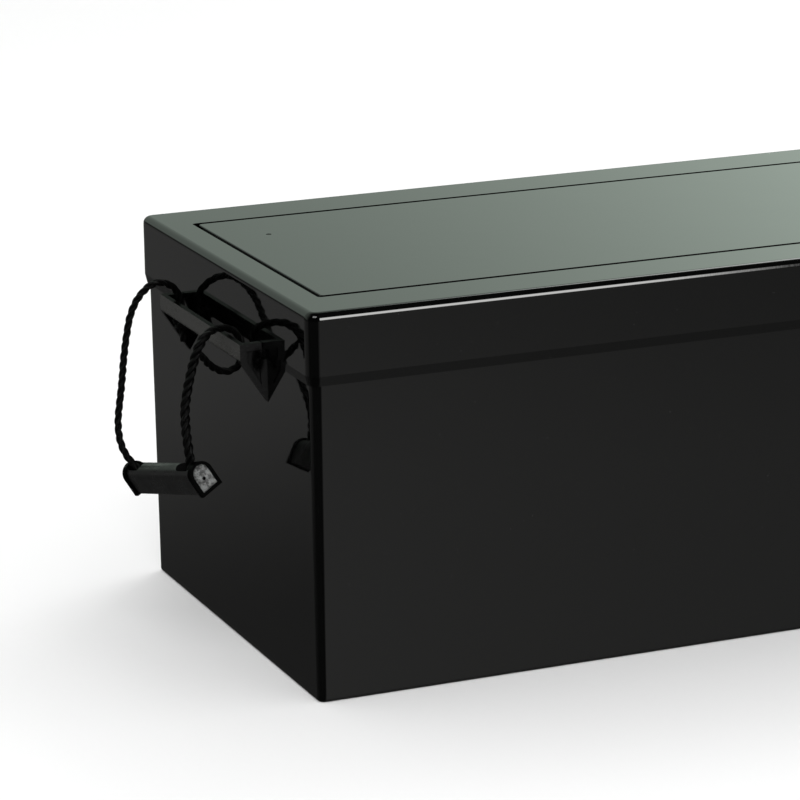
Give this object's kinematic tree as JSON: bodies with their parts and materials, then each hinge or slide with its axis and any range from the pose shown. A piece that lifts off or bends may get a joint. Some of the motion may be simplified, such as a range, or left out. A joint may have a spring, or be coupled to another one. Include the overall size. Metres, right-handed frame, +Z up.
{
  "type": "battery pack",
  "caption": "Large-format lithium battery pack in a black moulded case, with rope handles on its ends and recessed screw terminals.",
  "frame": {"origin": "centre of the base, on the surface it stands on", "axes": "+X along the length towards the terminals, -Y the front, +Z up"},
  "size_m": [0.636, 0.269, 0.218],
  "materials": {
    "case_plastic": "glossy moulded ABS, near black",
    "lug_plastic": "moulded, slightly worn gloss",
    "grip_plastic": "moulded, satin",
    "rope": "three-strand laid rope",
    "seal_rubber": "matte",
    "vent_plastic": "satin",
    "terminal_brass": "machined",
    "red_plastic": "satin",
    "black_plastic": "satin",
    "steel": "zinc plated",
    "foam": "closed-cell foam",
    "cell_wrap": "blue heat-shrink film",
    "aluminium": "milled",
    "insulation": "glass-epoxy sheet",
    "copper": "plain copper",
    "circuit_board": "solder mask",
    "sense_film": "polyimide film",
    "cable_jacket": "silicone jacket"
  },
  "bodies": {
    "battery": {"back_foam_block": "foam", "base_pad": "foam", "bms_board": "circuit_board", "bms_bolts": "steel", "bms_bracket": "aluminium", "bms_heatsink": "aluminium", "bms_posts": "copper", "bms_screws": "steel", "bms_transistors": "black_plastic", "busbar_1": "copper", "busbar_2": "copper", "busbar_3": "copper", "busbar_4": "copper", "busbar_5": "copper", "busbar_6": "copper", "busbar_7": "copper", "busbar_bolts": "steel", "cable_lugs": "copper", "case": "case_plastic", "cell_1": "cell_wrap", "cell_2": "cell_wrap", "cell_3": "cell_wrap", "cell_4": "cell_wrap", "cell_5": "cell_wrap", "cell_6": "cell_wrap", "cell_7": "cell_wrap", "cell_8": "cell_wrap", "cell_poles": "aluminium", "cell_spacers": "insulation", "insulation_board": "insulation", "left_end_plate": "aluminium", "left_foam_block": "foam", "left_rope_knot": "rope", "left_rope_lug": "lug_plastic", "lid": "case_plastic", "lid_gasket": "seal_rubber", "lower_strap": "steel", "negative_collar": "black_plastic", "negative_link": "copper", "negative_terminal": "terminal_brass", "output_cable": "cable_jacket", "positive_collar": "red_plastic", "positive_link": "copper", "positive_terminal": "terminal_brass", "right_end_plate": "aluminium", "right_foam_block": "foam", "right_rope_knot": "rope", "right_rope_lug": "lug_plastic", "sense_connector": "black_plastic", "sense_strip": "sense_film", "temperature_sensor": "black_plastic", "terminal_nuts": "steel", "terminal_seals": "seal_rubber", "top_panel": "case_plastic", "upper_strap": "steel", "vent_valve": "vent_plastic"},
    "left_handle": {"left_handle_rope": "rope", "left_grip": "grip_plastic"},
    "right_handle": {"right_handle_rope": "rope", "right_grip": "grip_plastic"}
  },
  "joints": [
    {"name": "left_handle_swing", "type": "hinge", "parent": "battery", "child": "left_handle", "pos_m": [-0.2725, 0, 0.1814], "axis": [0, 1, 0], "range_deg": [-20, 90], "deforming": ["left_handle_rope"]},
    {"name": "right_handle_swing", "type": "hinge", "parent": "battery", "child": "right_handle", "pos_m": [0.2725, 0, 0.1814], "axis": [0, -1, 0], "range_deg": [-20, 90], "deforming": ["right_handle_rope"]}
  ]
}
